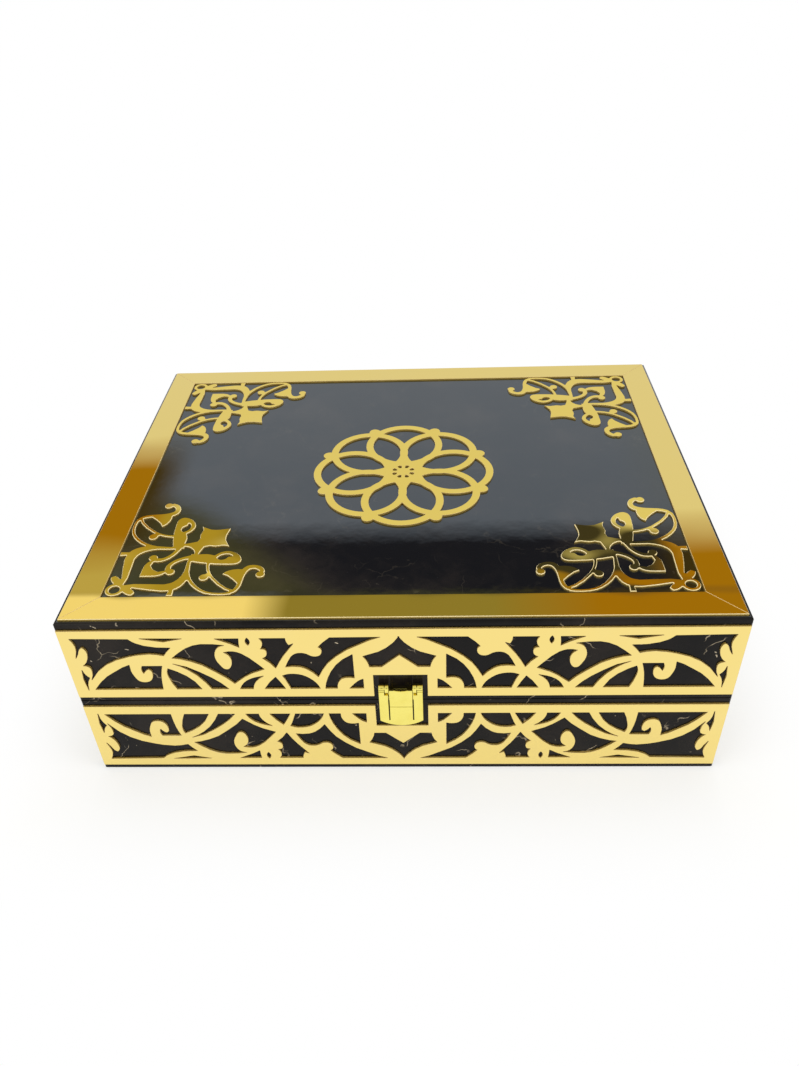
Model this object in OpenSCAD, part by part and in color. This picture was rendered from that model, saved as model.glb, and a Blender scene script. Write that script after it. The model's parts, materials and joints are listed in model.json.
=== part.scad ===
// Keepsake box for a bound book: a black marbled case in two halves with a hinged lid,
// gold mirror fretwork on its faces, scrolled corners on its top and a swing latch.
// Millimetres. X is the width, Y the depth (front is -Y), Z up, table at Z = 0.

/* [Case] */
// Width of the wooden case
box_w = 306; // [270:1:340]
// Depth of the wooden case
box_d = 240; // [210:1:280]
// Height of the base half up to the seam
base_h = 49.7; // [42:0.1:58]
// Height of the lid half from the seam to its top face
lid_h = 49.5; // [42:0.1:58]
// Gap between the closed halves
seam_gap = 0.4; // [0.3:0.1:1]
// Thickness of the side boards
wall_t = 9; // [7:0.5:12]
// Thickness of the lid's top board
top_t = 6; // [5:0.5:8]
// Thickness of the floor board
floor_t = 4; // [3:0.5:6]
// Rounding of the top board's upper edges
edge_r = 1.5; // [1:0.1:3]
// Rounding of the upright corners
corner_r = 1.2; // [0.8:0.1:2]

/* [Gold sheet] */
// Thickness of the gold mirror sheet
sheet_t = 1; // [0.8:0.1:2]
// Width of the frame strips on the top
strip_w = 14.8; // [11:0.1:18]
// Setback of the frame strips from the case's edges
strip_inset = 2; // [1:0.1:4]
// Setback of the fret panels from the seam
fret_seam = 3.1; // [2:0.1:5]
// Setback of the base fret panels from the table
fret_foot = 3.3; // [1:0.1:6]
// Setback of the lid fret panels from the top face
fret_head = 3.6; // [2:0.1:7]
// Setback of the front fret panels from the upright corners
fret_end = 0.8; // [0.2:0.1:2]
// Setback of the side fret panels from the upright corners
side_end = 3.4; // [2:0.1:8]
// Corner radius that the cutting beam leaves
kerf_r = 0.15; // [0.1:0.05:0.3]
// Width that the cutting beam takes off each drawn edge
beam_w = 0.25; // [0.1:0.05:0.4]

/* [Top ornament] */
// Reach of a corner ornament along each strip
corner_reach = 73.4; // [55:0.1:95]
// Diameter of the round centre piece
medal_d = 97; // [80:1:110]
// Width of the centre piece's strokes
medal_stroke = 4; // [3:0.1:5]
// Shift of the centre piece towards the front
medal_shift = 3; // [0:0.5:6]
// Gap between the ornaments and the frame
ornament_gap = 0.2; // [0.1:0.1:1]

/* [Hinges] */
// Distance of each hinge's middle from the case's end
hinge_inset = 60; // [40:1:90]
// Length of a hinge
hinge_w = 34; // [28:1:44]
// Height of one hinge leaf
leaf_h = 17; // [15:0.5:20]
// Thickness of the hinge sheet
leaf_t = 1.2; // [1:0.1:1.6]
// Radius of the hinge knuckles
knuckle_r = 2.3; // [2:0.1:3]
// Radius of the hinge pin
hinge_pin_r = 1.1; // [0.8:0.1:1.3]
// Running clearance around pins
pin_clear = 0.05; // [0.02:0.01:0.09]
// Clearance between moving pieces
move_clear = 0.3; // [0.3:0.05:0.5]

/* [Latch] */
// Width of the latch flap
latch_w = 20.2; // [18:0.2:26]
// Height of the latch's pivot above the lid's lower edge
latch_rise = 10.1; // [9:0.1:12]
// Length of the flap below its pivot
latch_drop = 23; // [21:0.1:27]
// Bow of the flap's lower edge
latch_bow = 3.4; // [1:0.1:5]
// Width of the flap's side bars
latch_bar = 4.2; // [3.8:0.1:5]
// Width of the slots beside the flap's middle plate
latch_slot = 0.6; // [0.5:0.1:1.2]
// Thickness of the flap
flap_t = 1.4; // [1.2:0.1:1.6]
// Radius of the latch barrels
barrel_r = 2.2; // [2:0.1:2.5]
// Radius of the latch pins
latch_pin_r = 0.8; // [0.6:0.05:1]
// Thickness of the bracket and the strike plate
plate_t = 1; // [0.8:0.1:1.2]
// Free space beside the latch in the fret window
window_gap = 2.3; // [1:0.1:4]
// Height of that window in each fret panel
window_h = 14.1; // [12:0.1:16]
// Width of the plain rim beside and behind that window
window_rim = 4.6; // [3:0.1:6]

/* [Lining] */
// Thickness of the velvet-covered card
lining_t = 2; // [1.5:0.1:3]
// Setback of the wall linings from the rim
lining_drop = 2; // [1:0.5:5]
// Gap at the lining's corners
lining_gap = 0.1; // [0.1:0.05:0.5]

/* [Screws] */
// Shank radius of the screws
screw_r = 1; // [0.8:0.1:1.2]
// Length of the shank in the wood
screw_len = 6; // [4:0.5:6.5]
// Head radius of the hinge screws
head_r = 2; // [1.6:0.1:2.4]
// Head height of the screws
head_h = 0.8; // [0.6:0.1:1]

/* [Hidden] */
$fn = 48;
front_y = -box_d / 2;
back_y = box_d / 2;
lid_z = base_h + seam_gap;
top_z = lid_z + lid_h;
wall_top_z = top_z - top_t;
frame_x = box_w / 2 - strip_inset;
frame_y = box_d / 2 - strip_inset;
in_x = box_w / 2 - wall_t;
in_y = box_d / 2 - wall_t;
hinge_x = box_w / 2 - hinge_inset;
// hinge axis, clear of the back boards
axis_y = back_y + knuckle_r + move_clear;
axis_z = base_h + seam_gap / 2;
// leaves start past the other leaf's knuckles
leaf_start = knuckle_r + move_clear;
knuckle_l = (hinge_w - 2 * move_clear) / 3;
// latch axis, clear of the lid's front board
latch_y = front_y - 0.4 - barrel_r;
latch_z = lid_z + latch_rise;
flap_back_y = latch_y - barrel_r + flap_t;
core_w = latch_w - 2 * latch_bar - 2 * latch_slot;
// lugs reach over the slots, clear of the flap's middle plate
lug_x = core_w / 2 + move_clear;
barrel_x = latch_w / 2 - latch_bar * 0.6;
lug_t = barrel_x - move_clear - lug_x;
window_w = latch_w / 2 + window_gap;
// fret panels: heights, and the size for which the scrolls are drawn
fret_base_h = base_h - fret_seam - fret_foot;
fret_lid_h = lid_h - fret_seam - fret_head;
draw_w = 152;
draw_h = 42.6;
// ornament scale, kept clear of its neighbours on a small top
orn_reach = min(corner_reach, 0.72 * (frame_y - strip_w));
orn_k = orn_reach / 73.4;
gold = [0.93, 0.76, 0.33];
brass = [0.86, 0.66, 0.22];
film = [0.06, 0.055, 0.055];
velvet = [0.33, 0.04, 0.06];
wood = [0.42, 0.3, 0.2];

// Smooth curve through points: unit slopes at the points, cubic pieces between them
function slope(p, i) = (p[i + 1] - p[i]) / norm(p[i + 1] - p[i]);
function mid_slope(p, i) =
    let (a = norm(p[i] - p[i - 1]), b = norm(p[i + 1] - p[i]))
    (slope(p, i - 1) * b + slope(p, i) * a) / (a + b);
function tangent(p, i) =
    len(p) == 2 ? slope(p, 0)
    : i == 0 ? 2 * slope(p, 0) - mid_slope(p, 1)
    : i == len(p) - 1 ? 2 * slope(p, i - 1) - mid_slope(p, i - 1)
    : mid_slope(p, i);
function turn(a, b) = acos(max(-1, min(1, a * b / norm(a) / norm(b))));
function cubic(a, b, ta, tb, t) =
    a * (2 * t * t * t - 3 * t * t + 1) + ta * (t * t * t - 2 * t * t + t)
    + b * (3 * t * t - 2 * t * t * t) + tb * (t * t * t - t * t);
function curve(p, step = 15) = [
    for (i = [0 : len(p) - 2])
        let (
            d = norm(p[i + 1] - p[i]),
            ta = tangent(p, i),
            tb = tangent(p, i + 1),
            n = max(1, ceil((turn(ta, p[i + 1] - p[i]) + turn(p[i + 1] - p[i], tb)) / step))
        )
        for (k = [0 : n - 1]) cubic(p[i], p[i + 1], ta * d, tb * d, k / n),
    p[len(p) - 1]
];

// Closed outline from sides: each side starts at a corner and passes its other points
function outline(s) = [
    for (i = [0 : len(s) - 1])
        let (c = curve(concat(s[i], [s[(i + 1) % len(s)][0]])))
        for (k = [0 : len(c) - 2]) c[k]
];

// Tapered band along a curve of [x, y, width]
function flat(p) = [p[0], p[1]];
function across(c, k) =
    let (d = flat(c[min(k + 1, len(c) - 1)] - c[max(k - 1, 0)]))
    [-d[1], d[0]] / norm(d) * c[k][2] / 2;
function band(p) =
    let (c = curve(p))
    concat(
        [for (k = [0 : len(c) - 1]) flat(c[k]) + across(c, k)],
        [for (k = [len(c) - 1 : -1 : 0]) flat(c[k]) - across(c, k)]
    );

// Cut-outs of one half of a fret panel, as [from the middle, from the seam edge]
CUTS = [
    // field beside the end border, with its three leaf lobes
    [[[146.8, 37.8]], [[120.7, 37.4], [117.8, 34.9], [114.2, 33.3], [108.9, 32.2]],
     [[102.8, 32], [104.9, 29.6]],
     [[106.5, 27.3], [113, 28.4], [118.4, 27.8], [122.6, 26.8], [128.9, 24.7], [134.1, 21.8],
      [138.9, 17.6]],
     [[142.6, 12.6], [141.4, 17], [141.8, 19.9]],
     [[144.4, 21.2], [142.6, 23.1], [141.1, 27], [141, 30.2], [142.8, 32.6], [144.3, 31.5],
      [145.5, 28.6]],
     [[146.5, 26.8], [145.5, 30.2], [145.3, 33.5], [145.9, 35.8]]],
    // sliver behind the lowest lobe
    [[[146.1, 17.6], [145.3, 15]], [[143.9, 13.2], [145.2, 10.8]], [[146.1, 6], [146.7, 12]]],
    // field under the great arch, around the hanging curl
    [[[142.6, 5.5]], [[111, 5.5], [110.7, 10.2], [110.2, 14.4], [109.4, 18.1]],
     [[108.7, 20.5]], [[117.6, 20.5], [118.2, 18.2]],
     [[117.8, 16.2], [116.6, 17.8], [115.2, 18.6], [113.9, 17.6], [113.6, 15.4], [114.1, 12.8],
      [115.7, 10.7], [118.4, 9.9], [121, 10.7], [122.8, 13.9], [123.7, 17.6]],
     [[123.6, 21.2], [126.8, 19.7], [131.5, 16.5], [135.2, 13.9], [138.9, 10.2]]],
    // between the upright stem and the inner arc
    [[[106, 18.8], [102.6, 17], [98.4, 13.9], [95.2, 10.2]], [[92.8, 5.5]],
     [[104.1, 5.5], [105.5, 9.1], [106.5, 13.3], [106.7, 16.5]]],
    // between the inner arc and the great arch
    [[[102, 21.5], [97.3, 19.9], [92, 16.5], [86.8, 12.6], [83.1, 9.1]], [[80.2, 5.5]],
     [[87.8, 5.5], [89.9, 9.7], [93.1, 14.4], [96.8, 18.1], [99.9, 20.4]]],
    // field with the hanging bud
    [[[102.6, 25.7], [99.4, 28.6], [95.7, 31.5], [92, 33.3], [88.4, 34.1], [83.1, 34]],
     [[78.6, 33.4], [81.5, 32], [83.1, 29.1], [83.5, 26], [82.8, 22.8], [81.5, 20.2], [79.9, 18.3],
      [78.2, 18.2], [76.7, 19.7], [75.8, 22.8], [76.3, 26.5]],
     [[78.6, 29], [74.4, 29.4], [71.2, 28.1], [68, 25.4], [64.9, 21.8]],
     [[62, 18.3], [68, 15.7], [71.7, 13.3]],
     [[76.7, 9.1], [79.9, 12.8], [84.7, 17], [89.9, 21.2], [94.7, 23.6], [99.4, 25.2]]],
    // slivers and slot under the outer border
    [[[114.2, 37.8]], [[97.3, 37.6], [101, 36.8]], [[104.9, 35.9], [107.8, 36.5]]],
    [[[81.2, 37.4]], [[71.2, 37.4], [71.5, 34.4]], [[71.5, 32.3], [74.9, 34.4], [78.6, 36.2]]],
    [[[67.2, 37.7], [66.4, 35.7]], [[67.2, 33.6], [68, 35.7]]],
    // between the leaf group and the flower
    [[[61.5, 37.4]], [[50.4, 37.4], [50.1, 35.2]], [[49.1, 33.1]],
     [[47.3, 33.9], [49.6, 30.7], [52.2, 27], [54.4, 23.3]], [[56.5, 19.1], [58.6, 22.3]],
     [[61.5, 25.2], [59.9, 26.3], [59.2, 28.6], [59.9, 30.7]], [[61.7, 31.2], [60.7, 33.1], [60.5, 35]]],
    // field under the flower and above the ogee
    [[[51.7, 19.7], [50.1, 23.3], [48.6, 26], [46.5, 27.8], [43.8, 28.2], [41.7, 27.6], [39.6, 26.2],
      [37.5, 25.9], [35.4, 26.8], [34.4, 29.1], [34.6, 30.7]],
     [[35.8, 32], [33.8, 34.4]], [[30.4, 37.6]],
     [[8.8, 37.7], [12.8, 36.2], [18, 33.3], [23.3, 30.4], [28.6, 26.2], [32.8, 21.8], [35.4, 17.6]],
     [[37.5, 13.3], [39.6, 16], [42.3, 18.3], [45.4, 19.7], [48.6, 20]]],
    // feet of the second crossing
    [[[74.4, 5.5]], [[68.6, 5.5], [68, 8.1], [66.5, 10.7]], [[63.3, 13.6], [66.5, 12.8], [70.7, 10.7]]],
    [[[57.3, 12.8], [55.5, 9.5]], [[53.6, 5.5]], [[62.8, 5.5], [60.1, 9.7]]],
    [[[53.8, 13.9], [51.7, 14.7], [48.6, 14.9], [44.9, 14.1], [41.7, 12], [39.1, 9.1]],
     [[37.5, 5.5]], [[50.7, 5.5], [51.7, 8.6], [52.8, 11.8]]],
    // under the ogee, around the quarter-round lobe
    [[[21.2, 27]], [[21.2, 12.3], [24.4, 12.6], [27, 11.8], [28.6, 9.7]], [[29.4, 5.5]],
     [[34.6, 5.5], [34.1, 8.6], [33, 12.3], [31.2, 16.5], [28.6, 20.7], [25.4, 24.1]]],
    [[[17.2, 11.3]], [[17.2, 5.5]], [[23.3, 5.5], [21.2, 8.1], [19.4, 10]]],
    // half of the pointed field in the middle
    [[[-0.1, 37.8], [2.2, 34.4], [5.4, 31.2], [9.1, 28.7], [12.8, 27.3]],
     [[16.2, 26], [14.9, 23.9], [13.9, 21.2]], [[13.6, 19.4]], [[8.3, 19.4], [3.5, 23.8]],
     [[-0.1, 27]]]
];

// Low arch in the middle of the side panels, where the front has its latch window
ARCH_CUT = [[[-0.1, 13], [6, 11.5]], [[12.5, 5.5]], [[-0.1, 5.5]]];

// Corner ornament below its diagonal, as bands of [along, in, width] from the frame's corner
BANDS = [
    // stem along the frame, turning in to the crossing
    [[8, 7.2, 2.2], [13, 7.5, 3.4], [20, 6.7, 4.6], [27, 6, 5.4], [32, 7.3, 6], [35.1, 12, 4.8],
     [35.8, 18, 3], [35.4, 24, 2.4], [35.8, 29, 2.8]],
    // foot to the frame
    [[31.3, 0.2, 3.4], [31.5, 5, 2.6]],
    // low arc and second arc
    [[36.2, 17, 2.4], [38.4, 11.4, 2.4], [42.4, 6.2, 2.3], [47.5, 2.6, 2.1], [54, 1.4, 2], [59.5, 2, 2.2]],
    [[44.8, 24, 2.2], [45.7, 18.5, 2], [48.4, 13.2, 2], [52.5, 8.4, 2], [56.5, 5, 2], [60.3, 3.2, 2]],
    // bud on the second arc
    [[44.8, 14.4, 1.6], [46.8, 16.4, 1.8]],
    // end hook
    [[58, 1.9, 2], [60.8, 3.8, 2.6], [62.2, 8, 2.6], [62.4, 13, 3], [62.9, 17, 3.6], [64.8, 20, 3.6],
     [67.6, 20.6, 3.2], [70.5, 19.2, 3.2], [72, 16.4, 2.6]],
    // curl into the inner field
    [[36, 28.6, 3.2], [32, 27.2, 2.8], [28.4, 24.8, 2.8], [26.4, 21.6, 3], [26.6, 18.6, 3.4]],
    // leaf beside the corner ring
    [[8, 6.4, 2.4], [10.5, 4.6, 4.2], [13, 2.7, 4], [14.6, 1.7, 2.2]]
];

// Round ends of the curls and buds, as [along, in, radius]
BALLS = [[71, 15, 2.4], [44.7, 13.2, 2.5], [28, 17.4, 2.4]];

// Filled shapes below the diagonal
LEAVES = [
    // leaf on the hook
    [[[62.5, 19], [57.5, 18.9], [54.2, 17.3]], [[52.8, 15.4], [55.6, 14], [58.6, 11.2]], [[61, 8.4]],
     [[62.5, 9]]],
    // wide stem that ends in the great curl
    [[[35, 25], [41, 23.6], [48, 22.5], [55, 22.2], [59.3, 23.1], [60.6, 25.2], [60, 28.2], [57, 31.5],
      [53, 33], [49.2, 31.9]], [[46.8, 29.7], [43, 30.8], [38.5, 30.6]], [[35, 31]]],
    // half of the inner leaf
    [[[13.9, 13.9], [19, 13.9], [23.5, 14.6], [25.8, 16.4]], [[26.4, 18.9]], [[22.2, 17.8]], [[19.3, 19.6]]],
    // half of the crown on the diagonal
    [[[51.2, 51.2], [50.2, 46], [50.3, 41.5], [52, 38]], [[53.4, 35.6], [51.8, 36.5], [49.5, 37], [46, 36.3]],
     [[43, 36.8]], [[40.6, 36], [39.6, 33]], [[38.8, 30]], [[36.4, 30], [36.1, 32.4]], [[34.4, 34.8]]]
];

// Eye of the great curl
CURL_EYE = [
    [[48.6, 27.6], [50.4, 29.6], [53.3, 30.1]],
    [[55.6, 28.7], [53.5, 28.4], [52.3, 26.8], [50.3, 26.3]]
];

// Plan of the case with rounded upright corners
module case_plan(w, d) {
    square([w - 2 * corner_r, d], center = true);
    square([w, d - 2 * corner_r], center = true);
    for (x = [-1, 1], y = [-1, 1])
        translate([x * (w / 2 - corner_r), y * (d / 2 - corner_r)]) circle(r = corner_r);
}

// One mitred board of a ring, on the -Y side; length runs along X
module mitred_board(length, width, depth, h) {
    intersection() {
        linear_extrude(h) case_plan(length, width);
        linear_extrude(h)
            polygon([
                [-length / 2, -width / 2], [length / 2, -width / 2],
                [length / 2 - depth, -width / 2 + depth], [-length / 2 + depth, -width / 2 + depth]
            ]);
    }
}

// Screw with its shank along -Z and its head on Z = 0
module screw(hr, under) {
    translate([0, 0, -screw_len - under]) cylinder(r = screw_r, h = screw_len + under + 0.1);
    difference() {
        cylinder(r1 = hr, r2 = hr * 0.7, h = head_h);
        for (a = [0, 90]) rotate(a) translate([-hr * 0.5, -0.2, head_h * 0.5]) cube([hr, 0.4, head_h]);
    }
}

// Seats of the hinge screws on one leaf, as [along, from the axis]
leaf_seats = [
    [-hinge_w * 0.33, leaf_start + leaf_h * 0.28],
    [0, leaf_start + leaf_h * 0.6],
    [hinge_w * 0.33, leaf_start + leaf_h * 0.28]
];

// Screw axes on the back: side is 1 for the lid and -1 for the base
module at_leaf_screws(side) {
    for (x = [-hinge_x, hinge_x], s = leaf_seats)
        translate([x + s[0], back_y, axis_z + side * s[1]]) rotate([-90, 0, 0]) children();
}

// Screw axes on the front, inside the latch
module at_latch_screws(side) {
    z = side > 0 ? latch_screw_lid_z : latch_screw_base_z;
    for (x = [-1, 1]) translate([x * core_w * 0.3, front_y, z]) rotate([90, 0, 0]) children();
}
latch_screw_lid_z = lid_z + 3.2;
latch_screw_base_z = base_h - 3.5;

module base_front() {
    color(film) difference() {
        mitred_board(box_w, box_d, wall_t, base_h);
        at_latch_screws(-1) translate([0, 0, -screw_len]) cylinder(r = screw_r, h = screw_len + 1);
    }
}

module base_back() {
    color(film) difference() {
        rotate(180) mitred_board(box_w, box_d, wall_t, base_h);
        at_leaf_screws(-1) translate([0, 0, -screw_len]) cylinder(r = screw_r, h = screw_len + 1);
    }
}

module base_left() {
    color(film) rotate(-90) mitred_board(box_d, box_w, wall_t, base_h);
}

module base_right() {
    color(film) rotate(90) mitred_board(box_d, box_w, wall_t, base_h);
}

module base_floor() {
    color(wood) translate([-in_x, -in_y, 0]) cube([2 * in_x, 2 * in_y, floor_t]);
}

module lid_front() {
    color(film) difference() {
        translate([0, 0, lid_z]) mitred_board(box_w, box_d, wall_t, lid_h - top_t);
        at_latch_screws(1) translate([0, 0, -screw_len]) cylinder(r = screw_r, h = screw_len + 1);
    }
}

module lid_back() {
    color(film) difference() {
        translate([0, 0, lid_z]) rotate(180) mitred_board(box_w, box_d, wall_t, lid_h - top_t);
        at_leaf_screws(1) translate([0, 0, -screw_len]) cylinder(r = screw_r, h = screw_len + 1);
    }
}

module lid_left() {
    color(film) translate([0, 0, lid_z]) rotate(-90) mitred_board(box_d, box_w, wall_t, lid_h - top_t);
}

module lid_right() {
    color(film) translate([0, 0, lid_z]) rotate(90) mitred_board(box_d, box_w, wall_t, lid_h - top_t);
}

// Section of the top board with its two upper edges rounded, width along X, height along Y
module top_section(w) {
    translate([-w / 2, 0]) square([w, top_t - edge_r]);
    translate([-w / 2 + edge_r, 0]) square([w - 2 * edge_r, top_t]);
    for (x = [-1, 1]) translate([x * (w / 2 - edge_r), top_t - edge_r]) circle(r = edge_r);
}

module lid_top() {
    color(film) translate([0, 0, wall_top_z]) intersection() {
        linear_extrude(top_t) case_plan(box_w, box_d);
        translate([0, box_d / 2, 0]) rotate([90, 0, 0]) linear_extrude(box_d) top_section(box_w);
        translate([-box_w / 2, 0, 0]) rotate([90, 0, 90]) linear_extrude(box_w) top_section(box_d);
    }
}

// Mitred strip of the top frame on the -Y side
module frame_strip(length, width) {
    translate([0, 0, top_z]) linear_extrude(sheet_t)
        polygon([
            [-length, -width], [length, -width],
            [length - strip_w, -width + strip_w], [-length + strip_w, -width + strip_w]
        ]);
}

module frame_front() {
    color(gold) frame_strip(frame_x, frame_y);
}

module frame_back() {
    color(gold) rotate(180) frame_strip(frame_x, frame_y);
}

module frame_left() {
    color(gold) rotate(-90) frame_strip(frame_y, frame_x);
}

module frame_right() {
    color(gold) rotate(90) frame_strip(frame_y, frame_x);
}

// One half of the corner scroll, its diagonal from the frame's inner corner
module scroll_half() {
    for (b = BANDS) polygon(band(b));
    for (b = BALLS) translate([b[0], b[1]]) circle(r = b[2], $fn = 24);
    for (l = LEAVES) polygon(outline(l));
}

// Corner scroll with the frame's inner corner at the origin
module corner_scroll() {
    linear_extrude(sheet_t) offset(r = -kerf_r - beam_w, $fn = 8) offset(delta = kerf_r)
        translate([ornament_gap, ornament_gap]) scale(orn_k) difference() {
            union() {
                scroll_half();
                mirror([1, -1]) scroll_half();
                translate([4.9, 4.9]) circle(r = 4.5, $fn = 32);
            }
            translate([4.9, 4.9]) circle(r = 2.3, $fn = 24);
            polygon(outline(CURL_EYE));
            mirror([1, -1]) polygon(outline(CURL_EYE));
        }
}

module at_corner(x, y) {
    translate([x * (frame_x - strip_w), y * (frame_y - strip_w), top_z])
        mirror([x > 0 ? 1 : 0, 0, 0]) mirror([0, y > 0 ? 1 : 0, 0]) children();
}

module corner_front_left() {
    color(gold) at_corner(-1, -1) corner_scroll();
}

module corner_front_right() {
    color(gold) at_corner(1, -1) corner_scroll();
}

module corner_back_left() {
    color(gold) at_corner(-1, 1) corner_scroll();
}

module corner_back_right() {
    color(gold) at_corner(1, 1) corner_scroll();
}

// Round rosette of eight interlaced loops with buds between them and a pierced eye
module medallion() {
    loop_r = medal_d * 0.2;
    ring_r = medal_d / 2 - loop_r - medal_stroke / 2;
    bud_r = medal_d * 0.452;
    color(gold) translate([0, -medal_shift, top_z]) linear_extrude(sheet_t)
        offset(r = -kerf_r, $fn = 8) offset(delta = kerf_r) {
            for (a = [0 : 45 : 315]) rotate(a) {
                translate([ring_r, 0]) difference() {
                    circle(r = loop_r + medal_stroke / 2, $fn = 60);
                    circle(r = loop_r - medal_stroke / 2, $fn = 60);
                }
                rotate(22.5) translate([bud_r, 0]) scale([1.25, 1]) circle(r = medal_d * 0.036, $fn = 24);
            }
            difference() {
                circle(r = medal_d * 0.092, $fn = 40);
                for (a = [0 : 45 : 315]) rotate(a + 22.5) translate([medal_d * 0.058, 0])
                    scale([1.5, 0.8]) circle(r = medal_d * 0.014, $fn = 12);
            }
        }
}

// Fret panel in the plane of X and Y: half width, height, and whether it leaves a latch window
module fret_panel(half_w, h, window) {
    ku = half_w / draw_w;
    kv = h / draw_h;
    linear_extrude(sheet_t) offset(r = -kerf_r, $fn = 8) offset(delta = kerf_r) difference() {
        union() {
            difference() {
                translate([-half_w, 0]) square([2 * half_w, h]);
                for (m = [0, 1]) mirror([m, 0]) offset(delta = beam_w) scale([ku, kv]) {
                    for (c = CUTS) polygon(outline(c));
                    if (!window) polygon(outline(ARCH_CUT));
                }
            }
            if (window) translate([-window_w - window_rim, 0])
                square([2 * (window_w + window_rim), window_h + window_rim]);
        }
        if (window) translate([-window_w, -1]) square([2 * window_w, window_h + 1]);
    }
}

// Panels on the lid stand up from the seam, panels on the base hang down from it
module front_panel(lid) {
    z = lid ? lid_z + fret_seam : base_h - fret_seam;
    translate([0, front_y, z]) rotate([90, 0, 0]) mirror([0, lid ? 0 : 1, 0])
        fret_panel(box_w / 2 - fret_end, lid ? fret_lid_h : fret_base_h, true);
}

module side_panel(lid) {
    z = lid ? lid_z + fret_seam : base_h - fret_seam;
    translate([box_w / 2, 0, z]) rotate([90, 0, 90]) mirror([0, lid ? 0 : 1, 0])
        fret_panel(box_d / 2 - side_end, lid ? fret_lid_h : fret_base_h, false);
}

module fret_front_lid() {
    color(gold) front_panel(true);
}

module fret_front_base() {
    color(gold) front_panel(false);
}

module fret_left_lid() {
    color(gold) mirror([1, 0, 0]) side_panel(true);
}

module fret_left_base() {
    color(gold) mirror([1, 0, 0]) side_panel(false);
}

module fret_right_lid() {
    color(gold) side_panel(true);
}

module fret_right_base() {
    color(gold) side_panel(false);
}

// Knuckle of a hinge from x0 to x1 about the hinge axis, with its tab to the leaf
module knuckle(x0, x1, side, bore_r) {
    translate([x0, axis_y, axis_z]) rotate([90, 0, 90]) difference() {
        linear_extrude(x1 - x0) {
            circle(r = knuckle_r);
            translate([-knuckle_r - move_clear, side > 0 ? seam_gap / 2 : -leaf_start - 1])
                square([leaf_t, leaf_start + 1 - seam_gap / 2]);
        }
        translate([0, 0, -1]) cylinder(r = bore_r, h = x1 - x0 + 2);
    }
}

// Hinge leaf on the back: the lid's has the middle knuckle, the base's the outer two
module hinge_leaf(x, side) {
    translate([x, 0, 0]) {
        difference() {
            translate([-hinge_w / 2, back_y, side > 0 ? axis_z + leaf_start : axis_z - leaf_start - leaf_h])
                cube([hinge_w, leaf_t, leaf_h]);
            for (s = leaf_seats)
                translate([s[0], back_y, axis_z + side * s[1]]) rotate([-90, 0, 0])
                    translate([0, 0, -1]) cylinder(r = screw_r, h = leaf_t + 2);
        }
        if (side > 0) knuckle(-knuckle_l / 2, knuckle_l / 2, side, hinge_pin_r + pin_clear);
        else for (k = [-1, 1])
            translate([k * (hinge_w / 2 - knuckle_l / 2), 0, 0])
                knuckle(-knuckle_l / 2, knuckle_l / 2, side, hinge_pin_r);
    }
}

module hinge_pin(x) {
    translate([x - hinge_w / 2, axis_y, axis_z]) rotate([0, 90, 0]) cylinder(r = hinge_pin_r, h = hinge_w);
}

module hinge_left_lid_leaf() {
    color(brass) hinge_leaf(-hinge_x, 1);
}

module hinge_left_base_leaf() {
    color(brass) hinge_leaf(-hinge_x, -1);
}

module hinge_left_pin() {
    color(brass) hinge_pin(-hinge_x);
}

module hinge_right_lid_leaf() {
    color(brass) hinge_leaf(hinge_x, 1);
}

module hinge_right_base_leaf() {
    color(brass) hinge_leaf(hinge_x, -1);
}

module hinge_right_pin() {
    color(brass) hinge_pin(hinge_x);
}

module hinge_screws_lid() {
    color(brass) at_leaf_screws(1) translate([0, 0, leaf_t]) screw(head_r, leaf_t);
}

module hinge_screws_base() {
    color(brass) at_leaf_screws(-1) translate([0, 0, leaf_t]) screw(head_r, leaf_t);
}

// Lid bracket: plate on the board and two lugs that carry the latch pins
module latch_bracket() {
    plate_h = latch_rise - barrel_r - 0.6;
    color(brass) difference() {
        union() {
            translate([-lug_x - lug_t, front_y - plate_t, lid_z + 0.6])
                cube([2 * (lug_x + lug_t), plate_t, plate_h]);
            for (m = [0, 1]) mirror([m, 0, 0]) translate([lug_x, latch_y, latch_z]) rotate([90, 0, 90])
                linear_extrude(lug_t) {
                    circle(r = barrel_r);
                    translate([-0.2, -barrel_r - 1.6])
                        square([front_y - latch_y + 0.2, barrel_r + 1.6]);
                }
        }
        translate([-latch_w, latch_y, latch_z]) rotate([0, 90, 0]) cylinder(r = latch_pin_r, h = 2 * latch_w);
        at_latch_screws(1) cylinder(r = screw_r, h = 3 * plate_t, center = true);
    }
}

module latch_pin(x) {
    translate([x, latch_y, latch_z]) rotate([0, 90, 0]) cylinder(r = latch_pin_r, h = latch_w / 2 - lug_x);
}

module latch_pin_left() {
    color(brass) latch_pin(-latch_w / 2);
}

module latch_pin_right() {
    color(brass) latch_pin(lug_x);
}

// Face of the flap: middle plate with a hollow top edge between two side bars, bowed below
module flap_face() {
    low = -latch_drop;
    top = -barrel_r - move_clear;
    core_top = 0.6;
    bow_r = (pow(latch_w / 2, 2) + pow(latch_bow, 2)) / (2 * latch_bow);
    difference() {
        union() {
            intersection() {
                translate([-latch_w / 2, low]) square([latch_w, top - low]);
                translate([0, low + bow_r]) circle(r = bow_r, $fn = 120);
            }
            translate([-core_w / 2, top - 1]) square([core_w, core_top - top + 1]);
            for (m = [0, 1]) mirror([m, 0])
                translate([barrel_x, top - 1]) square([latch_w / 2 - barrel_x, 1 - top]);
        }
        for (m = [0, 1]) mirror([m, 0]) translate([core_w / 2, low + 3.6]) square([latch_slot, latch_drop]);
        translate([0, core_top + core_w - 0.5]) circle(r = core_w, $fn = 96);
    }
}

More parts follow.
